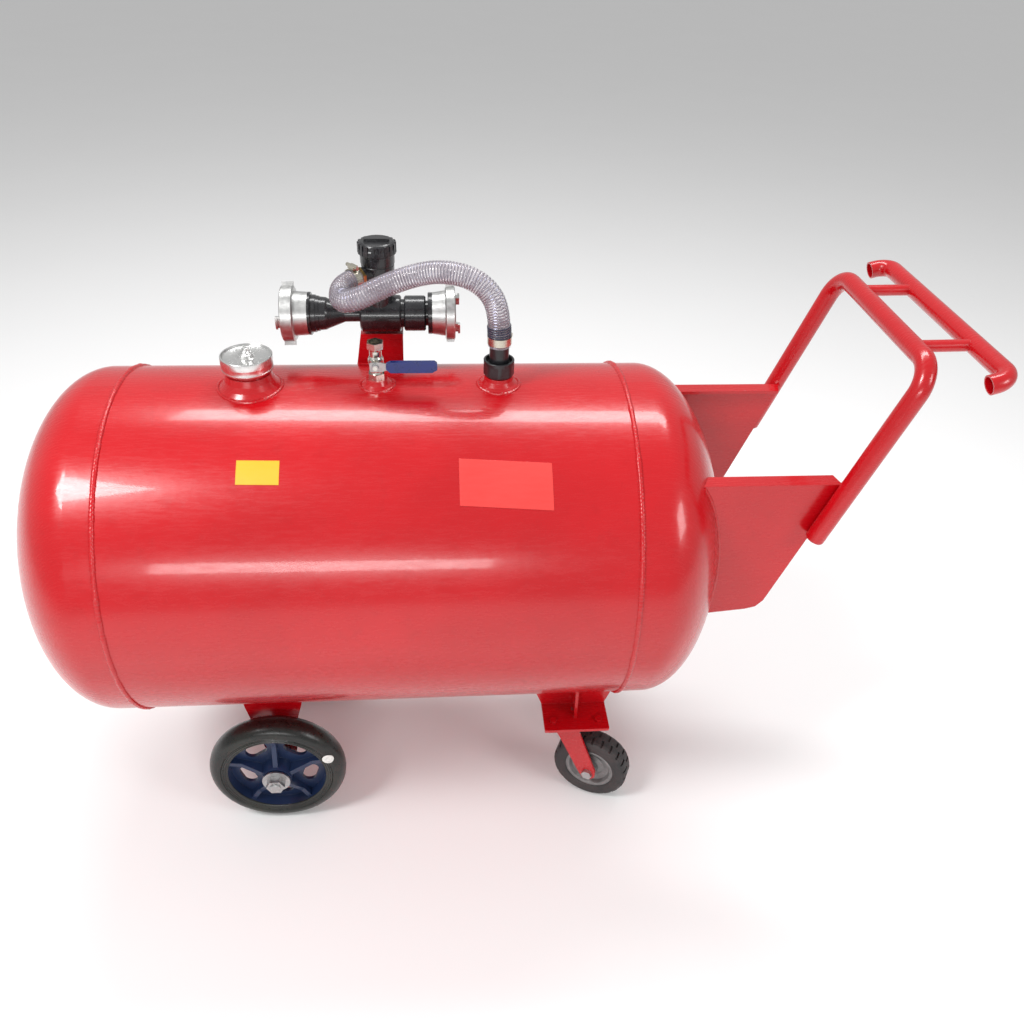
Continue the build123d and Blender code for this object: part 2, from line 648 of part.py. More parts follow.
def make_tyre(s):
    with BuildPart() as t:
        with BuildSketch(wheel_plane(s)):
            with BuildLine():
                Polyline((97, 192), (99, 194), (103, 195.4), (107, 196))
                Spline((107, 196), (117.5, 193.4), (125.2, 184.5), (WHEEL_R, 176),
                       tangents=[(1, 0), (0.15, -1)])
                Line((WHEEL_R, 176), (WHEEL_R, 166))
                Spline((WHEEL_R, 166), (125.2, 157.5), (117.5, 148.6), (107, 146),
                       tangents=[(-0.15, -1), (-1, 0)])
                Polyline((107, 146), (103, 146.6), (99, 148), (97, 150), (97, 192))
            make_face()
        revolve(axis=wheel_axis())
    return t


def make_rim(s):
    with BuildPart() as r:
        # barrel, sloping web and hub in one casting
        with BuildSketch(wheel_plane(s)):
            Polygon((97, 191), (97, 151), (92, 151), (91, 164), (60, 166), (27, 164), (27, 146), (17.5, 146),
                    (17.5, 202), (27, 202), (28, 196), (29, 174), (60, 173), (90, 171), (92.5, 190.4), (95, 192.4), align=None)
        revolve(axis=wheel_axis())
        # five windows in the web
        with BuildSketch(Plane(origin=at(WHEEL_X, 150 * s, WHEEL_Z), x_dir=(1, 0, 0), z_dir=(0, s, 0))):
            with PolarLocations(62, 5, start_angle=-126 * s):
                SlotOverall(46, 26, rotation=90)
        extrude(amount=40, mode=Mode.SUBTRACT)
        # five ribs from the hub to the barrel
        for k in range(5):
            ang = math.radians(90 + 72 * k)
            d = Vector(math.cos(ang), 0, math.sin(ang))
            n = Vector(-math.sin(ang), 0, math.cos(ang))
            with BuildSketch(Plane(origin=at(WHEEL_X, 0, WHEEL_Z) - n * 4.5, x_dir=d, z_dir=n)):
                ys = -1 if (Vector(0, 1, 0).dot(n.cross(d)) < 0) else 1
                Polygon((26, ys * s * 170), (93, ys * s * 167), (93, ys * s * 187), (70, ys * s * 184), (27, ys * s * 197), align=None)
            extrude(amount=9)
    return r


def make_bearings(s):
    with BuildPart() as b:
        for y in (142.0, 193.0):
            with BuildSketch(Plane(origin=at(WHEEL_X, s * y, WHEEL_Z), x_dir=(1, 0, 0), z_dir=(0, s, 0))):
                Circle(17.5)
                Circle(AX_R + 0.05, mode=Mode.SUBTRACT)
            extrude(amount=12)
    return b


for s, tag in ((-1, "right"), (1, "left")):
    save(make_tyre(s), "tyre_" + tag)
    save(make_rim(s), "rim_" + tag)
    save(make_bearings(s), "wheel_bearings_" + tag)

# ---- casters ----------------------------------------------------------------
with BuildPart() as caster_brackets:
    for s in (-1, 1):
        # a tapered web across the tank, and a rib each side of it
        with BuildSketch(side(CAST_X, s * 109.0 + 3.0, 0)):
            Polygon((-88, -250), (88, -250), (75, -312), (62, PAD_Z), (-62, PAD_Z), (-77, -312), align=None)
        extrude(amount=6)
        with BuildSketch(along_x(CAST_X - 3, 0, 0)):
            Polygon((s * 109, PAD_Z), (s * 150, PAD_Z), (s * 142, -240), (s * 109, -240), align=None)
            Polygon((s * 109, PAD_Z), (s * 80, PAD_Z), (s * 84, -270), (s * 109, -270), align=None)
        extrude(amount=6)
    add(tank_envelope.part, mode=Mode.SUBTRACT)
    add(weld_seams.part, mode=Mode.SUBTRACT)

BOLT_XY = ((-44, -30), (44, -30), (-44, 30), (44, 30))

with BuildPart() as caster_pads:
    for s in (-1, 1):
        with BuildSketch(flat(CAST_X, s * CAST_Y, PAD_Z - 6)):
            RectangleRounded(125, 106, 3)
            with Locations(*BOLT_XY):
                Circle(4.0, mode=Mode.SUBTRACT)
            Circle(6.0, mode=Mode.SUBTRACT)
        extrude(amount=6)

# each pad is welded under its bracket
with BuildPart() as caster_mounts:
    add(caster_brackets.part)
    add(caster_pads.part)
save(caster_mounts, "caster_mounts")

with BuildPart() as caster_top_plates:
    for s in (-1, 1):
        with BuildSketch(flat(CAST_X, s * CAST_Y, PAD_Z - 10)):
            RectangleRounded(119, 100, 6)
            with Locations(*BOLT_XY):
                Circle(4.0, mode=Mode.SUBTRACT)
            Circle(6.0, mode=Mode.SUBTRACT)
        extrude(amount=4)
save(caster_top_plates, "caster_top_plates")

with BuildPart() as caster_bolts:
    for s in (-1, 1):
        for bx, by in BOLT_XY:
            with BuildSketch(flat(CAST_X + bx, s * CAST_Y + by, PAD_Z)):
                RegularPolygon(6.5, 6, major_radius=False)
            extrude(amount=5.3)
            with BuildSketch(flat(CAST_X + bx, s * CAST_Y + by, PAD_Z - 18)):
                Circle(4.0)
            extrude(amount=18)
            with BuildSketch(flat(CAST_X + bx, s * CAST_Y + by, PAD_Z - 16.5)):
                RegularPolygon(6.5, 6, major_radius=False)
            extrude(amount=6.5)
save(caster_bolts, "caster_bolts")

RACE_TOP, RACE_BOT = PAD_Z - 10, PAD_Z - 22
CROWN_TOP = RACE_BOT - 0.4
CROWN_BOT = CROWN_TOP - 5

with BuildPart() as caster_races:
    for s in (-1, 1):
        with BuildSketch(side(CAST_X, s * CAST_Y, 0)):
            Polygon((6, RACE_TOP), (30, RACE_TOP), (32, RACE_TOP - 2), (32, RACE_BOT + 2), (30, RACE_BOT), (6, RACE_BOT), align=None)
        revolve(axis=Axis(at(CAST_X, s * CAST_Y, 0), (0, 0, 1)))
save(caster_races, "caster_races")

with BuildPart() as caster_kingpins:
    for s in (-1, 1):
        with BuildSketch(side(CAST_X, s * CAST_Y, 0)):
            Polygon((0, PAD_Z), (6, PAD_Z), (6, CROWN_BOT - 0.4), (11, CROWN_BOT - 0.4), (11, CROWN_BOT - 5),
                    (9, CROWN_BOT - 7), (0, CROWN_BOT - 7), align=None)
        revolve(axis=Axis(at(CAST_X, s * CAST_Y, 0), (0, 0, 1)))
save(caster_kingpins, "caster_kingpins")


class Caster:
    """The swivelling half of one caster, at its rest direction."""

    def __init__(self, s, yaw):
        a = math.radians(yaw)
        self.o = at(CAST_X, s * CAST_Y, 0)
        self.t = Vector(math.cos(a), math.sin(a), 0)      # trailing direction
        self.n = Vector(-math.sin(a), math.cos(a), 0)     # wheel axle direction
        self.hub = self.o + self.t * TRAIL + Vector(0, 0, CAST_Z)

    def face(self, y):
        """Local x trails, local y is up, the normal is the side away from n."""
        return Plane(origin=self.o + self.n * y, x_dir=self.t, z_dir=self.t.cross(Vector(0, 0, 1)))

    def profile(self):
        """Local x is the radius along the trail, local y is the axle."""
        return Plane(origin=self.hub, x_dir=self.t, z_dir=self.t.cross(self.n))

    def axis(self):
        return Axis(self.hub, self.n)

    def fork(self):
        with BuildPart() as f:
            with BuildSketch(Plane(origin=self.o + Vector(0, 0, CROWN_BOT), x_dir=self.t, z_dir=(0, 0, 1))):
                Circle(33)
                Rectangle(46, 64)
                Circle(6.06, mode=Mode.SUBTRACT)
            extrude(amount=5)
            for y in (32, -27):
                with BuildSketch(self.face(y)):
                    with BuildLine():
                        Polyline((-24, CROWN_TOP), (20, CROWN_TOP), (24, CROWN_TOP - 8), (TRAIL + 15.5, CAST_Z + 8),
                                 (TRAIL + 15.5, CAST_Z - 8), (TRAIL + 8, CAST_Z - 15.5), (TRAIL - 10, CAST_Z - 15.5),
                                 (TRAIL - 17, CAST_Z - 6), (-24, CROWN_TOP - 16), (-24, CROWN_TOP))
                    make_face()
                    with Locations((TRAIL, CAST_Z)):
                        Circle(6.0, mode=Mode.SUBTRACT)
                extrude(amount=5)
        return f

    def bolt(self):
        with BuildPart() as b:
            with BuildSketch(Plane(origin=self.hub - self.n * 38, x_dir=self.t, z_dir=self.n)):
                Circle(6.0)
            extrude(amount=80)
            with BuildSketch(Plane(origin=self.hub - self.n * 32, x_dir=self.t, z_dir=-self.n)):
                RegularPolygon(9.5, 6, major_radius=False)
            extrude(amount=7.5)
            with BuildSketch(Plane(origin=self.hub + self.n * 32, x_dir=self.t, z_dir=self.n)):
                RegularPolygon(9.5, 6, major_radius=False)
                Circle(6.0, mode=Mode.SUBTRACT)
            extrude(amount=10)
        return b

    def rim(self):
        with BuildPart() as r:
            with BuildSketch(self.profile()):
                Polygon((6.08, -25.5), (15, -25.5), (16, -24), (17, -12), (27, -9), (38, -12), (42, -19), (46, -20.5),
                        (49, -19.5), (49, 19.5), (46, 20.5), (42, 19), (38, 12), (27, 9), (17, 12), (16, 24), (15, 25.5),
                        (6.08, 25.5), align=None)
            revolve(axis=self.axis())
        return r

    def tyre(self):
        with BuildPart() as t:
            with BuildSketch(self.profile()):
                Polygon((49, -20), (52, -22), (60, -23), (68, -22.4), (73, -19), (CAST_R, -14), (CAST_R, 14),
                        (73, 19), (68, 22.4), (60, 23), (52, 22), (49, 20), align=None)
            revolve(axis=self.axis())
            # two staggered rows of tread grooves
            for row, y0 in ((0, -23), (1, 2)):
                with BuildSketch(Plane(origin=self.hub + self.n * y0, x_dir=self.t, z_dir=self.n)):
                    with PolarLocations(CAST_R, 24, start_angle=7.5 * row):
                        Rectangle(7.0, 4.6)
                extrude(amount=21, mode=Mode.SUBTRACT)
        return t


casters = {"right": Caster(-1, YAW_RIGHT), "left": Caster(1, YAW_LEFT)}
for tag, c in casters.items():
    save(c.fork(), "caster_fork_" + tag)
    save(c.bolt(), "caster_axle_" + tag)
    save(c.rim(), "caster_rim_" + tag)
    save(c.tyre(), "caster_tyre_" + tag)
    print("caster", tag, "hub", [round(v, 3) for v in tuple(c.hub)], "axle", [round(v, 5) for v in tuple(c.n)])

# ---- push handle ------------------------------------------------------------
B_X, B_Z = 826.5, 415.5          # where a leg's line meets the cross tube's
C_X, C_Z = 715.5, 108.0          # a leg's lower end
SLOPE = (B_X - C_X) / (B_Z - C_Z)
P_TOP = 203.0


def leg_x(z):
    return C_X + SLOPE * (z - C_Z)


with BuildPart() as handle_plates:
    for s in (-1, 1):
        with BuildSketch(Plane(origin=at(0, s * PLATE_Y if s < 0 else s * (PLATE_Y - 6), 0), x_dir=(1, 0, 0), z_dir=(0, -1, 0))):
            with BuildLine():
                Polyline((440, P_TOP), (leg_x(P_TOP), P_TOP), (leg_x(-40), -40), (leg_x(-40) - 12, -54),
                         (leg_x(-40) - 30, -59), (440, -80), (440, P_TOP))
            make_face()
        extrude(amount=-6)
        with BuildSketch(flat(0, 0, P_TOP - 6)):
            Polygon((440, s * (PLATE_Y - 2)), (leg_x(P_TOP) - 4, s * (PLATE_Y - 2)), (leg_x(P_TOP) - 10, s * (PLATE_Y - 28)),
                    (440, s * (PLATE_Y - 28)), align=None)
        extrude(amount=6)
    add(tank_envelope.part, mode=Mode.SUBTRACT)
save(handle_plates, "handle_plates")

with BuildPart() as handle_tube:
    pts = [at(C_X, -LEG_Y, C_Z), at(B_X, -LEG_Y, B_Z), at(B_X, LEG_Y, B_Z), at(C_X, LEG_Y, C_Z)]
    with BuildLine():
        FilletPolyline(*pts, radius=45)
    with BuildSketch(Plane(origin=pts[0], z_dir=pts[1] - pts[0])):
        Circle(TUBE_R)
        Circle(TUBE_R - TUBE_T, mode=Mode.SUBTRACT)
    sweep()
    # closed lower ends
    for p, q in ((pts[0], pts[1]), (pts[3], pts[2])):
        with BuildSketch(Plane(origin=p, z_dir=q - p)):
            Circle(TUBE_R)
        extrude(amount=-3, taper=30)
        with BuildSketch(Plane(origin=p, z_dir=q - p)):
            Circle(TUBE_R)
        extrude(amount=3)
save(handle_tube, "handle_tube")

with BuildPart() as push_bar:
    pts = [at(BAR_X - 33, -222, 408), at(BAR_X, -222, 417), at(BAR_X, 222, 417), at(BAR_X - 33, 222, 408)]
    with BuildLine():
        FilletPolyline(*pts, radius=26)
    with BuildSketch(Plane(origin=pts[0], z_dir=pts[1] - pts[0])):
        Circle(BAR_R)
        Circle(BAR_R - BAR_T, mode=Mode.SUBTRACT)
    sweep()
with BuildPart() as bar_struts:
    for s in (-1, 1):
        with BuildSketch(Plane(origin=at(B_X, s * 109, B_Z), x_dir=(0, 1, 0), z_dir=at(BAR_X, 0, 417) - at(B_X, 0, B_Z))):
            Circle(9.5)
        extrude(amount=(at(BAR_X, 0, 417) - at(B_X, 0, B_Z)).length)
    for px, pz, pr in ((B_X, B_Z, TUBE_R), (BAR_X, 417, BAR_R)):
        with BuildSketch(Plane(origin=at(px, -140, pz), x_dir=(1, 0, 0), z_dir=(0, 1, 0))):
            Circle(pr)
        extrude(amount=280, mode=Mode.SUBTRACT)

# the two struts are welded to the bar, and make one weldment with it
with BuildPart() as push_bar_and_struts:
    add(push_bar.part)
    add(bar_struts.part)
save(push_bar_and_struts, "push_bar")
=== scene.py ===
import bpy
import bmesh
import json
import math
from mathutils import Vector, Matrix, noise


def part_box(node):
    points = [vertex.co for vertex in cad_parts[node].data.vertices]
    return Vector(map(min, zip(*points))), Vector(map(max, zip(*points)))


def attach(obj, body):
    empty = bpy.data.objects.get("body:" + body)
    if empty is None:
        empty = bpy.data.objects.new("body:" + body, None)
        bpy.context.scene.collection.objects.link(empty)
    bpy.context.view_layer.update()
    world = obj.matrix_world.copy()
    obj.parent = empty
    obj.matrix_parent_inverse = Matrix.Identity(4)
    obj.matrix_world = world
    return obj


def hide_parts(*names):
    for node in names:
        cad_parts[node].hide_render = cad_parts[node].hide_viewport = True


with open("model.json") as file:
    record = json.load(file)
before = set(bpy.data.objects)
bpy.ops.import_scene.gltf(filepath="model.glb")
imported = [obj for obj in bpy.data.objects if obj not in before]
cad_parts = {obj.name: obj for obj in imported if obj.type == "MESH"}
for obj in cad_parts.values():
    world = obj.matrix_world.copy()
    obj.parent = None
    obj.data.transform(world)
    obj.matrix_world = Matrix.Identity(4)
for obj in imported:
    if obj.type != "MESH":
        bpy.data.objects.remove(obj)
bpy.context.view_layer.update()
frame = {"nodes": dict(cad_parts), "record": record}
nodes = frame["nodes"]
SC = bpy.context.scene


def T(x, y, z):
    """A point in mm from the middle of the tank, in metres in the row frame."""
    return Vector(((x - 174.0) / 1000, y / 1000, (z + 560.0) / 1000))


# ---------------------------------------------------------------- camera
yaw, pitch, roll = -0.099, -0.625, 0.039
fwd = Vector((-math.sin(yaw) * math.cos(pitch), math.cos(yaw) * math.cos(pitch), math.sin(pitch)))
right = Vector((math.cos(yaw), math.sin(yaw), 0))
up = right.cross(fwd)
r2 = right * math.cos(roll) + up * math.sin(roll)
u2 = up * math.cos(roll) - right * math.sin(roll)
cam_data = bpy.data.cameras.new("camera")
cam_data.sensor_width = 36
cam_data.lens = 32.436
cam_data.clip_end = 60
cam = bpy.data.objects.new("camera", cam_data)
SC.collection.objects.link(cam)
rot = Matrix((r2, u2, -fwd)).transposed().to_4x4()
cam.matrix_world = Matrix.Translation(Vector((-0.0776, -1.3528, 1.5781))) @ rot
SC.camera = cam

# ---------------------------------------------------------------- materials
MATS = {}


class Nodes:
    def __init__(self, name):
        self.m = bpy.data.materials.new(name)
        self.m.use_nodes = True
        self.t = self.m.node_tree
        self.b = self.t.nodes["Principled BSDF"]
        self.tc = self.t.nodes.new("ShaderNodeTexCoord")

    def new(self, kind, **kw):
        n = self.t.nodes.new(kind)
        for k, v in kw.items():
            setattr(n, k, v)
        return n

    def link(self, a, b):
        self.t.links.new(a, b)

    def noise(self, scale, detail=4, rough=0.55, stretch=None, dist=0.0):
        n = self.new("ShaderNodeTexNoise")
        n.inputs["Scale"].default_value = scale
        n.inputs["Detail"].default_value = detail
        n.inputs["Roughness"].default_value = rough
        n.inputs["Distortion"].default_value = dist
        if stretch:
            mp = self.new("ShaderNodeMapping")
            mp.inputs["Scale"].default_value = stretch
            self.link(self.tc.outputs["Object"], mp.inputs["Vector"])
            self.link(mp.outputs["Vector"], n.inputs["Vector"])
        else:
            self.link(self.tc.outputs["Object"], n.inputs["Vector"])
        return n.outputs["Fac"]

    def ramp(self, fac, stops):
        r = self.new("ShaderNodeValToRGB")
        el = r.color_ramp.elements
        while len(el) < len(stops):
            el.new(0.5)
        for e, (p, c) in zip(el, stops):
            e.position = p
            e.color = (c, c, c, 1) if isinstance(c, (int, float)) else (*c, 1)
        self.link(fac, r.inputs["Fac"])
        return r.outputs["Color"]

    def mix(self, fac, a, b, blend="MIX"):
        m = self.new("ShaderNodeMix", data_type="RGBA", blend_type=blend)
        for sock, v in ((m.inputs["Factor"], fac), (m.inputs["A"], a), (m.inputs["B"], b)):
            if hasattr(v, "is_output"):
                self.link(v, sock)
            elif isinstance(v, (int, float)):
                sock.default_value = v
            else:
                sock.default_value = (*v, 1)
        return m.outputs["Result"]

    def bump(self, height, strength, distance, under=None):
        b = self.new("ShaderNodeBump")
        b.inputs["Strength"].default_value = strength
        b.inputs["Distance"].default_value = distance
        self.link(height, b.inputs["Height"])
        if under is not None:
            self.link(under, b.inputs["Normal"])
        return b.outputs["Normal"]

    def set(self, **kw):
        for k, v in kw.items():
            s = self.b.inputs[k.replace("_", " ")]
            if hasattr(v, "is_output"):
                self.link(v, s)
            else:
                s.default_value = (*v, 1) if isinstance(v, tuple) and len(v) == 3 else v


def painted(name, col, dark, light, rough=0.2, peel=0.22, coat=0.35, chip=0.0):
    k = Nodes(name)
    big = k.noise(3.2, 3, 0.6)
    c = k.mix(k.ramp(big, [(0.3, 0.0), (0.7, 1.0)]), dark, light)
    c = k.mix(0.55, c, col)
    fine = k.noise(46, 5, 0.6)
    c = k.mix(k.ramp(fine, [(0.55, 0.0), (0.72, 0.22)]), c, dark)
    if chip:
        spots = k.noise(160, 3, 0.7)
        c = k.mix(k.ramp(spots, [(0.69, 0.0), (0.72, chip)]), c, (0.10, 0.07, 0.06))
    scratches = k.noise(30, 6, 0.75, (1, 9, 3))
    k.set(Base_Color=c, Coat_Weight=coat, Coat_Roughness=0.06, Metallic=0.0,
          Roughness=k.ramp(scratches, [(0.35, rough), (0.75, rough + 0.16)]))
    edge = k.new("ShaderNodeBevel", samples=4)
    edge.inputs["Radius"].default_value = 0.0011
    n = k.bump(k.noise(62, 2, 0.5), peel, 0.0005, edge.outputs["Normal"])
    n = k.bump(k.noise(9, 2, 0.5), 0.35, 0.0012, n)
    k.link(n, k.b.inputs["Normal"])
    return k.m


def metal(name, col, rough, grain=(1, 1, 1), scale=60, strength=0.25, var=0.12, metallic=1.0):
    k = Nodes(name)
    g = k.noise(scale, 6, 0.7, grain)
    dark = tuple(v * (1 - 2 * var) for v in col)
    c = k.mix(k.ramp(g, [(0.25, 0.0), (0.75, 1.0)]), dark, col)
    stain = k.noise(18, 4, 0.6)
    c = k.mix(k.ramp(stain, [(0.56, 0.0), (0.75, 0.35)]), c, tuple(v * 0.6 for v in col))
    k.set(Base_Color=c, Metallic=metallic, Roughness=k.ramp(g, [(0.2, rough * 0.75), (0.8, rough * 1.35)]))
    k.link(k.bump(g, strength, 0.0003), k.b.inputs["Normal"])
    return k.m


def plain(name, col, rough, scale=120, var=0.25, strength=0.25, dist=0.0003, coat=0.0, dust=None, metallic=0.0):
    k = Nodes(name)
    g = k.noise(scale, 4, 0.6)
    lo = tuple(v * (1 - var) for v in col)
    hi = tuple(min(1, v * (1 + var)) for v in col)
    c = k.mix(k.ramp(g, [(0.3, 0.0), (0.7, 1.0)]), lo, hi)
    if dust:
        c = k.mix(k.ramp(k.noise(14, 5, 0.65), [(0.45, 0.0), (0.75, 0.4)]), c, dust)
    k.set(Base_Color=c, Metallic=metallic, Coat_Weight=coat, Roughness=k.ramp(g, [(0.25, rough * 0.8), (0.8, min(1, rough * 1.25))]))
    k.link(k.bump(g, strength, dist), k.b.inputs["Normal"])
    return k.m


RED, RED_D, RED_L = (0.50, 0.0016, 0.006), (0.38, 0.0012, 0.004), (0.60, 0.003, 0.009)
MATS["red_paint"] = painted("red_paint", RED, RED_D, RED_L)
MATS["blue_paint"] = painted("blue_paint", (0.010, 0.026, 0.085), (0.008, 0.012, 0.03), (0.018, 0.045, 0.13), 0.34, 0.5, 0.15, 0.5)


def turned():
    k = Nodes("turned_aluminium")
    mp = k.new("ShaderNodeMapping")
    mp.inputs["Location"].default_value = (0.375, 0, 0)
    k.link(k.tc.outputs["Object"], mp.inputs["Vector"])
    w = k.new("ShaderNodeTexWave", wave_type="RINGS", rings_direction="Z")
    w.inputs["Scale"].default_value = 260
    w.inputs["Distortion"].default_value = 0.6
    w.inputs["Detail"].default_value = 2
    k.link(mp.outputs["Vector"], w.inputs["Vector"])
    stain = k.noise(40, 4, 0.6)
    c = k.mix(k.ramp(stain, [(0.4, 0.0), (0.75, 1.0)]), (0.80, 0.80, 0.79), (0.58, 0.58, 0.57))
    k.set(Base_Color=c, Metallic=1.0, Roughness=k.ramp(stain, [(0.3, 0.22), (0.8, 0.36)]))
    k.link(k.bump(w.outputs["Fac"], 0.3, 0.00012), k.b.inputs["Normal"])
    return k.m


MATS["turned_aluminium"] = turned()
MATS["cast_aluminium"] = metal("cast_aluminium", (0.66, 0.66, 0.65), 0.36, (1, 1, 1), 140, 0.5)
MATS["nickel"] = metal("nickel", (0.72, 0.70, 0.64), 0.2, (1, 1, 1), 90, 0.2)
MATS["zinc_steel"] = metal("zinc_steel", (0.58, 0.58, 0.58), 0.34, (1, 1, 1), 110, 0.35, 0.2)
MATS["bearing_steel"] = metal("bearing_steel", (0.6, 0.6, 0.6), 0.25)
MATS["clamp_steel"] = metal("clamp_steel", (0.66, 0.62, 0.52), 0.24, (1, 1, 12), 60)
MATS["brass"] = metal("brass", (0.62, 0.43, 0.16), 0.28, (1, 1, 1), 80, 0.25, 0.15)
MATS["black_anodised"] = plain("black_anodised", (0.012, 0.012, 0.014), 0.26, 90, 0.3, 0.3, 0.0003, 0.3, (0.05, 0.05, 0.055))
MATS["black_plastic"] = plain("black_plastic", (0.012, 0.012, 0.014), 0.32, 220, 0.3, 0.35, 0.0003, 0.2, (0.05, 0.05, 0.055))
MATS["blue_vinyl"] = plain("blue_vinyl", (0.004, 0.018, 0.15), 0.3, 70, 0.2, 0.3, 0.0003, 0.3)
MATS["white_ptfe"] = plain("white_ptfe", (0.8, 0.8, 0.78), 0.5)
MATS["seal_rubber"] = plain("seal_rubber", (0.015, 0.015, 0.015), 0.6)
MATS["pvc_pipe"] = plain("pvc_pipe", (0.45, 0.45, 0.46), 0.4)
MATS["rim_steel"] = metal("rim_steel", (0.30, 0.29, 0.29), 0.4, (1, 1, 1), 90, 0.5, 0.25, 0.5)
MATS["tyre_rubber"] = plain("tyre_rubber", (0.010, 0.011, 0.010), 0.3, 150, 0.3, 0.4, 0.0005, 0.0, (0.05, 0.055, 0.035))
MATS["caster_rubber"] = plain("caster_rubber", (0.030, 0.027, 0.028), 0.6, 130, 0.35, 0.5, 0.0006, 0.0, (0.12, 0.08, 0.075))
MATS["hose_wire"] = metal("hose_wire", (0.20, 0.21, 0.28), 0.25, (1, 1, 1), 200, 0.2)
MATS["ring_plastic"] = plain("ring_plastic", (0.012, 0.017, 0.045), 0.35, 150, 0.3, 0.3, 0.0003, 0.4)
MATS["tape"] = plain("tape", (0.75, 0.73, 0.70), 0.6)
MATS["label_red"] = painted("label_red", (0.78, 0.05, 0.045), (0.70, 0.035, 0.03), (0.84, 0.075, 0.06), 0.3, 0.2, 0.3)
MATS["label_yellow"] = painted("label_yellow", (0.85, 0.42, 0.01), (0.75, 0.33, 0.008), (0.9, 0.5, 0.02), 0.3, 0.2, 0.3)


def hose_skin():
    k = Nodes("clear_pvc")
    g = k.noise(24, 2, 0.5)
    c = k.mix(k.ramp(g, [(0.35, 0.0), (0.7, 1.0)]), (0.55, 0.46, 0.52), (0.80, 0.74, 0.80))
    k.set(Base_Color=c, Alpha=0.26, Coat_Weight=0.8, Coat_Roughness=0.05,
          Roughness=k.ramp(g, [(0.3, 0.10), (0.8, 0.22)]))
    k.link(k.bump(g, 0.06, 0.0004), k.b.inputs["Normal"])
    return k.m


MATS["clear_pvc"] = hose_skin()

slots = {s["node"]: s["material_slot"] for s in frame["record"]["subparts"]}
for n, o in nodes.items():
    m = MATS[slots[n]]
    if len(o.data.materials) == 0:
        o.data.materials.append(m)
    for i in range(len(o.material_slots)):
        o.material_slots[i].material = m


# ---------------------------------------------------------------- mesh helpers
def piece(name, verts, faces, mat, body="frame", smooth=True, angle=40):
    me = bpy.data.meshes.new(name)
    me.from_pydata([tuple(v) for v in verts], [], faces)
    me.validate()
    bm = bmesh.new()
    bm.from_mesh(me)
    bmesh.ops.recalc_face_normals(bm, faces=bm.faces)
    bm.to_mesh(me)
    bm.free()
    if smooth:
        me.shade_smooth()
        me.set_sharp_from_angle(angle=math.radians(angle))
    o = bpy.data.objects.new(name, me)
    SC.collection.objects.link(o)
    me.materials.append(MATS[mat])
    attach(o, body)
    return o


def lathe(name, prof, centre, axis, mat, body="frame", seg=128, closed=True, angle=40):
    """prof is (radius, height) pairs in mm round the axis."""
    axis = Vector(axis).normalized()
    a = axis.orthogonal().normalized()
    b = axis.cross(a)
    vs, fs = [], []
    k = len(prof)
    for i in range(seg):
        t = 2 * math.pi * i / seg
        d = a * math.cos(t) + b * math.sin(t)
        for r, h in prof:
            vs.append(centre + d * (r / 1000) + axis * (h / 1000))
    for i in range(seg):
        j = (i + 1) % seg
        for q in range(k if closed else k - 1):
            w = (q + 1) % k
            fs.append((i * k + q, i * k + w, j * k + w, j * k + q))
    return piece(name, vs, fs, mat, body, True, angle)


def frames(pts, closed):
    """Tangent and a carried normal at each point of a path."""
    n = len(pts)
    out = []
    for i in range(n):
        p = pts[(i - 1) % n] if (closed or i) else pts[0]
        q = pts[(i + 1) % n] if (closed or i < n - 1) else pts[-1]
        out.append((q - p).normalized())
    nor = out[0].orthogonal().normalized()
    res = []
    for t in out:
        nor = (nor - t * nor.dot(t)).normalized()
        res.append((t, nor, t.cross(nor)))
    return res


def tube(name, pts, radius, mat, body="frame", closed=False, seg=12, caps=True, inner=None):
    """radius is a number or a function of the point's index; all in metres."""
    fr = frames(pts, closed)
    vs, fs = [], []
    walls = [radius] if inner is None else [radius, inner]
    n = len(pts)
    for wall in walls:
        base = len(vs)
        for i, p in enumerate(pts):
            r = wall(i) if callable(wall) else wall
            _, u, v = fr[i]
            for k in range(seg):
                a = 2 * math.pi * k / seg
                vs.append(p + u * (r * math.cos(a)) + v * (r * math.sin(a)))
        for i in range(n if closed else n - 1):
            j = (i + 1) % n
            for k in range(seg):
                l = (k + 1) % seg
                fs.append((base + i * seg + k, base + i * seg + l, base + j * seg + l, base + j * seg + k))
    if not closed and caps:
        if inner is None:
            fs.append(tuple(range(seg)))
            fs.append(tuple((n - 1) * seg + k for k in range(seg)))
        else:
            off = n * seg
            for i in (0, n - 1):
                for k in range(seg):
                    l = (k + 1) % seg
                    fs.append((i * seg + k, i * seg + l, off + i * seg + l, off + i * seg + k))
    return piece(name, vs, fs, mat, body)


def resample(pts, step, closed=False):
    pts = list(pts) + ([pts[0]] if closed else [])
    d = [0.0]
    for a, b in zip(pts, pts[1:]):
        d.append(d[-1] + (b - a).length)
    n = max(2, int(round(d[-1] / step)))
    out, j = [], 0
    for i in range(n if closed else n + 1):
        s = d[-1] * i / n
        while j < len(d) - 2 and d[j + 1] < s:
            j += 1
        f = (s - d[j]) / max(1e-9, d[j + 1] - d[j])
        out.append(pts[j].lerp(pts[j + 1], f))
    return out


def bead(name, pts, r, closed=False, pitch=0.0062, amp=0.16, seg=8, seed=0.0, node=None):
    """A weld bead: a tube whose thickness ripples and wanders."""
    pts = resample(pts, 0.0016, closed)

    def rad(i):
        p = pts[i] * 60 + Vector((seed, seed, seed))
        ripple = abs(math.sin(math.pi * i * 0.0016 / pitch + 0.8 * noise.noise(p * 0.4)))
        return r * (0.86 + amp * ripple + 0.2 * noise.noise(p))
    o = tube(name, pts, rad, "red_paint", closed=closed, seg=seg)
    if node:
        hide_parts(node)
    return o


def on_tank(x, y, lift=0.0, under=False):
    z = math.sqrt((300.0 + lift) ** 2 - y * y)
    return T(x, y, -z if under else z)


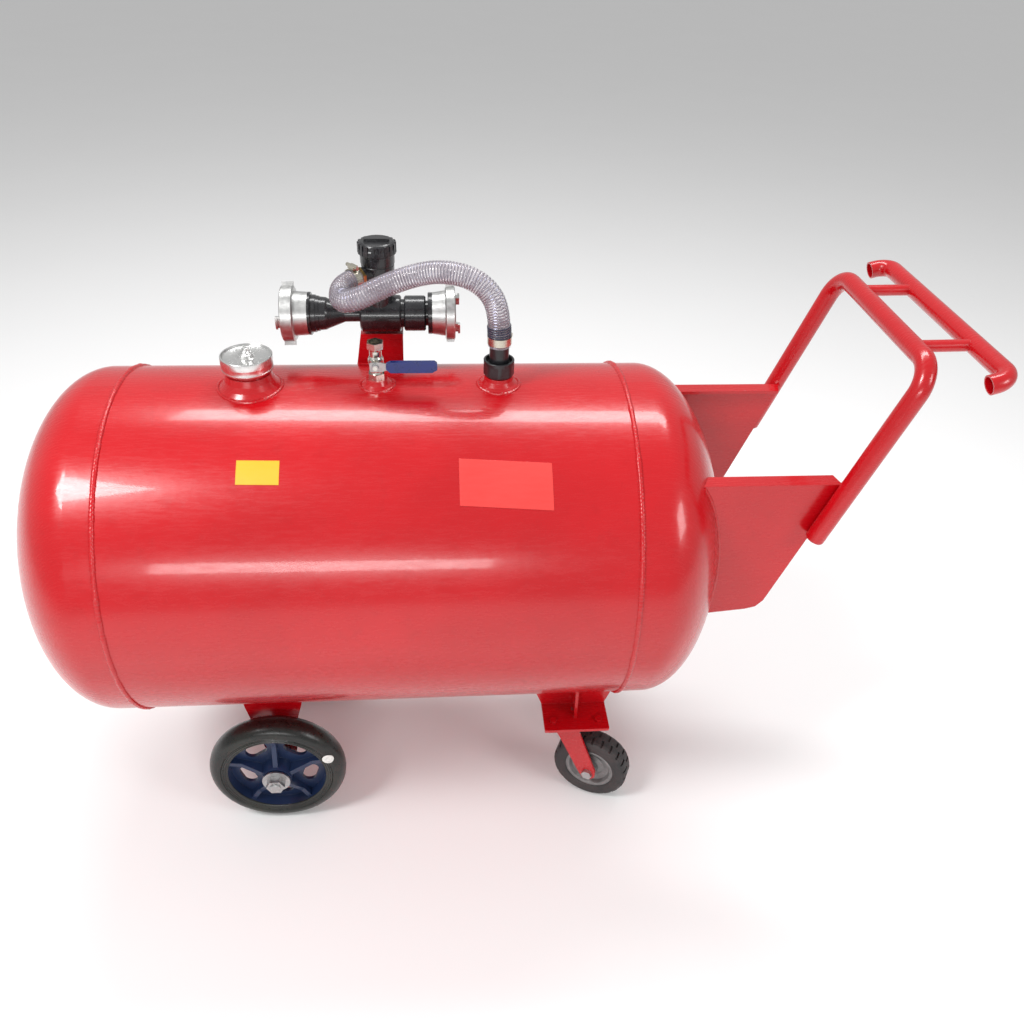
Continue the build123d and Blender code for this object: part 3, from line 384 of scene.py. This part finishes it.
# ---------------------------------------------------------------- welds
for tag, sx in (("rear", -409.0), ("front", 409.0)):
    ring = [T(sx, 299.2 * math.cos(a), 299.2 * math.sin(a)) for a in [2 * math.pi * i / 720 for i in range(720)]]
    w = bead("seam_" + tag, ring, 0.0046, True, seg=10, seed=sx)
    if sx < 0:
        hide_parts("weld_seams")


def foot_ring(name, x0, r, rise=0.0):
    pts = [on_tank(x0 + r * math.cos(a), r * math.sin(a), rise) for a in [2 * math.pi * i / 200 for i in range(200)]]
    return bead(name, pts, 0.0028, True, seed=x0)


foot_ring("weld_neck", -201.0, 51.0)
foot_ring("weld_vent", 2.0, 27.5)
foot_ring("weld_port", 200.0, 34.5)


def head_x(y, z):
    return 451.0 + 143.0 * math.sqrt(max(0.0, 1 - (y * y + z * z) / 90000.0))


for s, tag in ((-1, "right"), (1, "left")):
    for face, y in (("out", 171.0), ("in", 165.0)):
        pts = [T(head_x(y, z), s * y, z) for z in range(-64, 203, 4)]
        bead("weld_plate_%s_%s" % (face, tag), pts, 0.0034, seed=s * y)
    for face, y in (("out", 128.0), ("in", 120.0)):
        pts = [on_tank(x, s * y, 0, True) for x in range(-278, -157, 6)]
        bead("weld_leg_%s_%s" % (face, tag), pts, 0.0034, seed=s * y)
    for face, y in (("out", 112.0), ("in", 106.0)):
        pts = [on_tank(x, s * y, 0, True) for x in range(272, 400, 6)]
        bead("weld_caster_%s_%s" % (face, tag), pts, 0.0034, seed=s * y + 1)

blo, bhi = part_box("inductor_bracket")
for tag, y in (("near", blo.y * 1000), ("far", bhi.y * 1000)):
    bead("weld_bracket_" + tag, [on_tank(x, y) for x in range(int(blo.x * 1000 + 174), int(bhi.x * 1000 + 176), 4)], 0.003, seed=y)

# ---------------------------------------------------------------- big tyres, with grooved sidewalls
def tyre_profile():
    out = [(91.6, 191.2), (91.4, 192.8), (92.6, 193.9), (95.4, 194.3), (96.2, 193.7), (97.2, 194.4), (99.4, 194.9), (100.6, 194.0), (101.8, 194.8), (103.2, 195.4), (104.2, 194.6), (105.2, 195.8),
           (107, 196)]
    pr = [(107, 196), (110, 195.9), (113.5, 195.0), (117.0, 193.4), (120.3, 190.9), (123.0, 187.8), (125.2, 184.2), (126.9, 180.0), (128, 175.6)]
    out += pr[1:]
    mid = [(128, 171)]
    inner = [(r, 342 - h) for r, h in reversed(out) if r >= 97]
    return out + mid + inner + [(97.2, 149.5), (97.2, 190.9)]


for s, tag, body in ((-1, "right", "wheel_right"), (1, "left", "wheel_left")):
    t = lathe("big_tyre_" + tag, tyre_profile(), T(-218, 0, -432), (0, s, 0), "tyre_rubber", body, 160, True, 28)
    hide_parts("tyre_" + tag)
    # blank round sticker on the sidewall
    ctr = T(-218, 0, -432)
    n = 28
    vs, fs = [], []
    q = math.radians(24)
    d = Vector((math.cos(q), 0, math.sin(q)))
    e = Vector((-math.sin(q), 0, math.cos(q)))
    for h in (0.0, 0.0003):
        for i in range(n):
            a = 2 * math.pi * i / n
            rr = 0.1085 + 0.0108 * math.cos(a)
            y = 0.1963 + h - 0.0030 * max(0, (rr - 0.108) / 0.012) ** 2
            vs.append(ctr + d * rr + e * (0.0108 * math.sin(a)) + Vector((0, s * y, 0)))
    fs.append(tuple(range(n)))
    fs.append(tuple(range(n, 2 * n)))
    fs += [(i, (i + 1) % n, n + (i + 1) % n, n + i) for i in range(n)]
    if s < 0:
        piece("wheel_sticker", vs, fs, "tape", body, False)

# ---------------------------------------------------------------- suction hose
ROUTE = [(-0.20206, 0.11768, 0.992), (-0.22657, 0.09711, 0.992), (-0.2295, 0.064, 0.976), (-0.203, 0.040, 0.9865),
         (-0.154, 0.041, 1.012), (-0.099, 0.036, 1.0335), (-0.056, 0.022, 1.0425), (-0.014, 0.009, 1.036),
         (0.016, 0.002, 1.010), (0.026, 0.0, 0.968), (0.026, 0.0, 0.928)]
cu = bpy.data.curves.new("hose_line", "CURVE")
cu.dimensions = "3D"
cu.resolution_u = 24
sp = cu.splines.new("NURBS")
sp.points.add(len(ROUTE) - 1)
for p, c in zip(sp.points, ROUTE):
    p.co = (*c, 1)
sp.order_u = 3
sp.use_endpoint_u = True
co = bpy.data.objects.new("hose_line", cu)
SC.collection.objects.link(co)
line_mesh = bpy.data.meshes.new_from_object(co.evaluated_get(bpy.context.evaluated_depsgraph_get()))
line = [v.co.copy() for v in line_mesh.vertices]
bpy.data.meshes.remove(line_mesh)
bpy.data.objects.remove(co)
hose_pts = resample(line, 0.0008)
hn = len(hose_pts)
PITCH = 0.0048
hose = tube("hose", hose_pts, lambda i: 0.0183 + 0.00028 * math.cos(2 * math.pi * i * 0.0008 / PITCH),
            "clear_pvc", seg=36, inner=lambda i: 0.0156)
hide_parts("suction_hose")
fr = frames(hose_pts, False)
wire = []
total = sum((b - a).length for a, b in zip(hose_pts, hose_pts[1:]))
turns = total / PITCH
steps = int(turns * 22)
for i in range(steps + 1):
    f = i / steps * (hn - 1)
    k = min(hn - 2, int(f))
    w = f - k
    c = hose_pts[k].lerp(hose_pts[k + 1], w)
    u = fr[k][1].lerp(fr[k + 1][1], w).normalized()
    v = fr[k][2].lerp(fr[k + 1][2], w).normalized()
    a = 2 * math.pi * turns * i / steps
    wire.append(c + (u * math.cos(a) + v * math.sin(a)) * 0.0170)
helix = tube("hose_wire", wire, 0.00095, "hose_wire", seg=6)
vs, fs = [], []
dist = 0.0
targets = [0.0185, 0.0222, 0.0259, 0.0297, 0.0336]
for i in range(hn - 1, 0, -1):
    if not targets:
        break
    dist += (hose_pts[i] - hose_pts[i - 1]).length
    if dist >= targets[0]:
        targets.pop(0)
        t, u, v = fr[i]
        base = len(vs)
        for a in range(48):
            q = 2 * math.pi * a / 48
            rad = u * math.cos(q) + v * math.sin(q)
            for b in range(10):
                w = 2 * math.pi * b / 10
                vs.append(hose_pts[i] + rad * (0.0186 + 0.0009 * math.cos(w)) + t * (0.00115 * math.sin(w)))
        for a in range(48):
            for b in range(10):
                a2, b2 = (a + 1) % 48, (b + 1) % 10
                fs.append((base + a * 10 + b, base + a2 * 10 + b, base + a2 * 10 + b2, base + a * 10 + b2))
end_rings = piece("hose_end_rings", vs, fs, "ring_plastic")

# ---------------------------------------------------------------- filler cap, turned from one piece
cap_prof = [(0.05, 348.9), (33.08, 348.9), (33.08, 331), (39.4, 331), (40.2, 331.5), (40.5, 332.4), (40.5, 334.0), (40.0, 334.4),
            (40.0, 335.2), (40.5, 335.6), (40.5, 341.2), (40.9, 342.2), (41, 343.2), (41, 352.6), (40.8, 353.8), (40.2, 354.6),
            (38.9, 354.6), (38.2, 353.8), (37.6, 352.4), (36.4, 351.3), (33, 350.6), (17, 349.9), (13.2, 350.1), (12.2, 350.8),
            (11.9, 352.6), (11.6, 355.6), (11.0, 356.5), (9.0, 356.9), (8.2, 357.6), (7.8, 359.4), (7.2, 360.2), (5.8, 360.7), (5.1, 361.5),
            (4.9, 364.6), (4.4, 365.8), (3.4, 366.4), (0.05, 366.6)]
cap_piece = lathe("cap_turned", cap_prof, T(-201, 0, 0), (0, 0, 1), "turned_aluminium", "cap", 128, True, 25)
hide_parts("fill_cap")

# ---------------------------------------------------------------- tape ring at the valve foot
lathe("valve_tape", [(9.6, 308.2), (14.6, 308.2), (14.9, 309.4), (14.6, 311.4), (9.6, 311.4)], T(2, 0, 0), (0, 0, 1), "tape", "frame", 48)

# ---------------------------------------------------------------- plain labels on the shell
def shell_patch(name, x0, x1, a0, a1, mat, skew=0.0, lift=0.35):
    """A thin curved sheet on the near side of the tank; angles from the top."""
    nx, na = 24, 24
    vs, fs = [], []
    for layer, rr in enumerate((300.02, 300.0 + lift)):
        for i in range(nx + 1):
            for j in range(na + 1):
                x = x0 + (x1 - x0) * i / nx
                a = math.radians(a0 + (a1 - a0) * j / na + skew * (i / nx))
                vs.append(T(x, -rr * math.sin(a), rr * math.cos(a)))
    m = (nx + 1) * (na + 1)

    def g(l, i, j):
        return l * m + i * (na + 1) + j
    for i in range(nx):
        for j in range(na):
            fs.append((g(0, i, j), g(0, i + 1, j), g(0, i + 1, j + 1), g(0, i, j + 1)))
            fs.append((g(1, i, j), g(1, i + 1, j), g(1, i + 1, j + 1), g(1, i, j + 1)))
    for i in range(nx):
        for j in (0, na):
            fs.append((g(0, i, j), g(0, i + 1, j), g(1, i + 1, j), g(1, i, j)))
    for j in range(na):
        for i in (0, nx):
            fs.append((g(0, i, j), g(0, i, j + 1), g(1, i, j + 1), g(1, i, j)))
    return piece(name, vs, fs, mat, "frame", True, 30)


shell_patch("blank_label_yellow", -204, -140, 31.4, 38.9, "label_yellow", 0.3)
shell_patch("blank_label_red", 130, 273, 31.8, 46.2, "label_red", 1.9)

# ---------------------------------------------------------------- floor, light
fl = bpy.data.meshes.new("floor")
fl.from_pydata([(-14, -14, 0), (14, -14, 0), (14, 14, 0), (-14, 14, 0)], [], [(0, 1, 2, 3)])
floor = bpy.data.objects.new("floor", fl)
SC.collection.objects.link(floor)
k = Nodes("floor")
k.set(Base_Color=k.mix(k.noise(2, 2), (0.93, 0.93, 0.93), (0.95, 0.95, 0.95)), Roughness=0.9)
fl.materials.append(k.m)


def area(name, loc, target, size, power, sy=None):
    d = bpy.data.lights.new(name, "AREA")
    d.shape = "RECTANGLE"
    d.size = size
    d.size_y = sy or size
    d.energy = power
    o = bpy.data.objects.new(name, d)
    SC.collection.objects.link(o)
    o.location = loc
    o.rotation_euler = (Vector(target) - Vector(loc)).to_track_quat("-Z", "Y").to_euler()
    return o


area("key", (-1.9, -1.2, 3.2), (-0.2, 0, 0.5), 0.9, 62)
area("fill", (3.0, -2.2, 2.4), (0.1, 0, 0.5), 1.2, 34)
area("top", (0.2, 1.2, 3.4), (0, 0, 0.6), 3.0, 62, 0.5)
area("low", (-0.6, -3.2, 1.5), (0, 0, 0.4), 1.6, 22, 0.35)
world = bpy.data.worlds.new("world")
world.use_nodes = True
world.node_tree.nodes["Background"].inputs[0].default_value = (1, 1, 1, 1)
world.node_tree.nodes["Background"].inputs[1].default_value = 0.5
SC.view_settings.view_transform = "Standard"
SC.world = world
